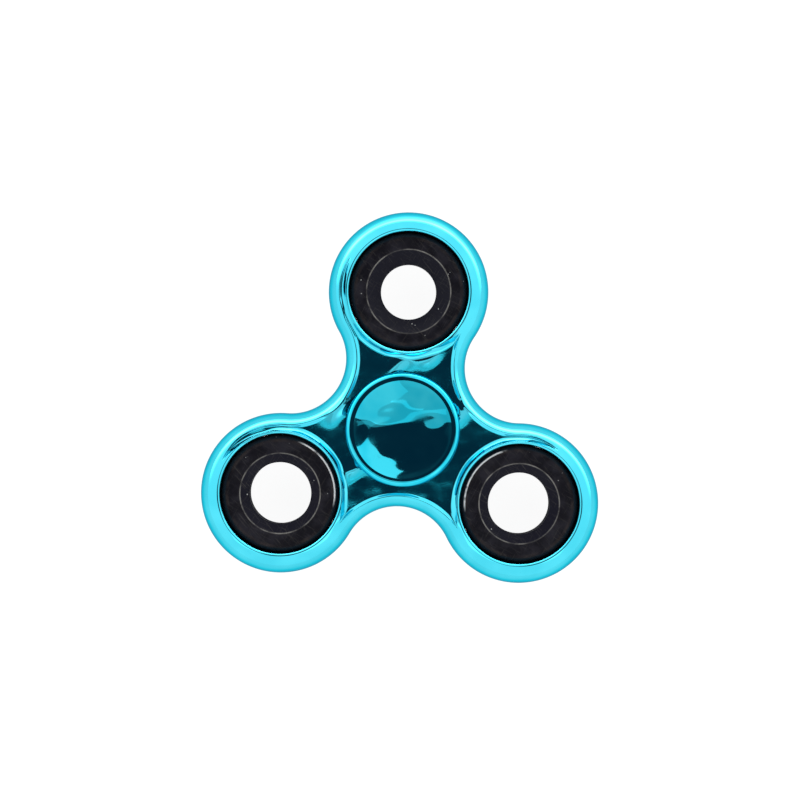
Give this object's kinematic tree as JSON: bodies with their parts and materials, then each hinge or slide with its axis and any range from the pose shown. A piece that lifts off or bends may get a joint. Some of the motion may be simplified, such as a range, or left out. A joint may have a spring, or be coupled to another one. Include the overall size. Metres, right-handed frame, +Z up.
{
  "type": "fidget spinner",
  "caption": "Three-lobed hand spinner: a mirror-bright cyan body with black steel rings in its lobes turns on a ball bearing between two dished finger pads.",
  "frame": {"origin": "on the spin axis, in the plane of the lower pad's rim, on which the spinner rests", "axes": "+Z up along the spin axis; +Y along the arm of counterweight_1, uppermost in the picture; +X to the right, across the other two arms"},
  "size_m": [0.0742, 0.0682, 0.013],
  "materials": {
    "plated_body": "mirror-bright cyan electroplating over moulded plastic",
    "black_steel": "satin black oxide with worn edges",
    "bearing_steel": "ground and polished",
    "sheet_steel": "pressed sheet"
  },
  "bodies": {
    "hub": {"cap_top": "plated_body", "cap_bottom": "plated_body", "inner_race": "bearing_steel"},
    "spinner": {"spinner_body": "plated_body", "counterweight_1": "black_steel", "counterweight_2": "black_steel", "counterweight_3": "black_steel", "outer_race": "bearing_steel", "shield_top": "sheet_steel", "shield_bottom": "sheet_steel"},
    "cage": {"cage_half_top": "sheet_steel", "cage_half_bottom": "sheet_steel", "cage_rivets": "sheet_steel"},
    "ball_1_rolling": {"ball_1": "bearing_steel"},
    "ball_2_rolling": {"ball_2": "bearing_steel"},
    "ball_3_rolling": {"ball_3": "bearing_steel"},
    "ball_4_rolling": {"ball_4": "bearing_steel"},
    "ball_5_rolling": {"ball_5": "bearing_steel"},
    "ball_6_rolling": {"ball_6": "bearing_steel"},
    "ball_7_rolling": {"ball_7": "bearing_steel"}
  },
  "joints": [
    {"name": "spinner_spin", "type": "hinge", "parent": "hub", "child": "spinner", "pos_m": [0, 0, 0.0065], "axis": [0, 0, 1], "continuous": true},
    {"name": "cage_orbit", "type": "hinge", "parent": "hub", "child": "cage", "pos_m": [0, 0, 0.0065], "axis": [0, 0, 1], "continuous": true},
    {"name": "ball_1_roll", "type": "hinge", "parent": "cage", "child": "ball_1_rolling", "pos_m": [0, 0.0075, 0.0065], "axis": [0, 0, 1], "continuous": true},
    {"name": "ball_2_roll", "type": "hinge", "parent": "cage", "child": "ball_2_rolling", "pos_m": [-0.00586, 0.00468, 0.0065], "axis": [0, 0, 1], "continuous": true},
    {"name": "ball_3_roll", "type": "hinge", "parent": "cage", "child": "ball_3_rolling", "pos_m": [-0.00731, -0.00167, 0.0065], "axis": [0, 0, 1], "continuous": true},
    {"name": "ball_4_roll", "type": "hinge", "parent": "cage", "child": "ball_4_rolling", "pos_m": [-0.00325, -0.00676, 0.0065], "axis": [0, 0, 1], "continuous": true},
    {"name": "ball_5_roll", "type": "hinge", "parent": "cage", "child": "ball_5_rolling", "pos_m": [0.00325, -0.00676, 0.0065], "axis": [0, 0, 1], "continuous": true},
    {"name": "ball_6_roll", "type": "hinge", "parent": "cage", "child": "ball_6_rolling", "pos_m": [0.00731, -0.00167, 0.0065], "axis": [0, 0, 1], "continuous": true},
    {"name": "ball_7_roll", "type": "hinge", "parent": "cage", "child": "ball_7_rolling", "pos_m": [0.00586, 0.00468, 0.0065], "axis": [0, 0, 1], "continuous": true}
  ],
  "couplings": [
    {"joint": "cage_orbit", "follows": "spinner_spin", "ratio": 0.6323},
    {"joint": "ball_1_roll", "follows": "spinner_spin", "ratio": 1.7573},
    {"joint": "ball_2_roll", "follows": "spinner_spin", "ratio": 1.7573},
    {"joint": "ball_3_roll", "follows": "spinner_spin", "ratio": 1.7573},
    {"joint": "ball_4_roll", "follows": "spinner_spin", "ratio": 1.7573},
    {"joint": "ball_5_roll", "follows": "spinner_spin", "ratio": 1.7573},
    {"joint": "ball_6_roll", "follows": "spinner_spin", "ratio": 1.7573},
    {"joint": "ball_7_roll", "follows": "spinner_spin", "ratio": 1.7573}
  ]
}
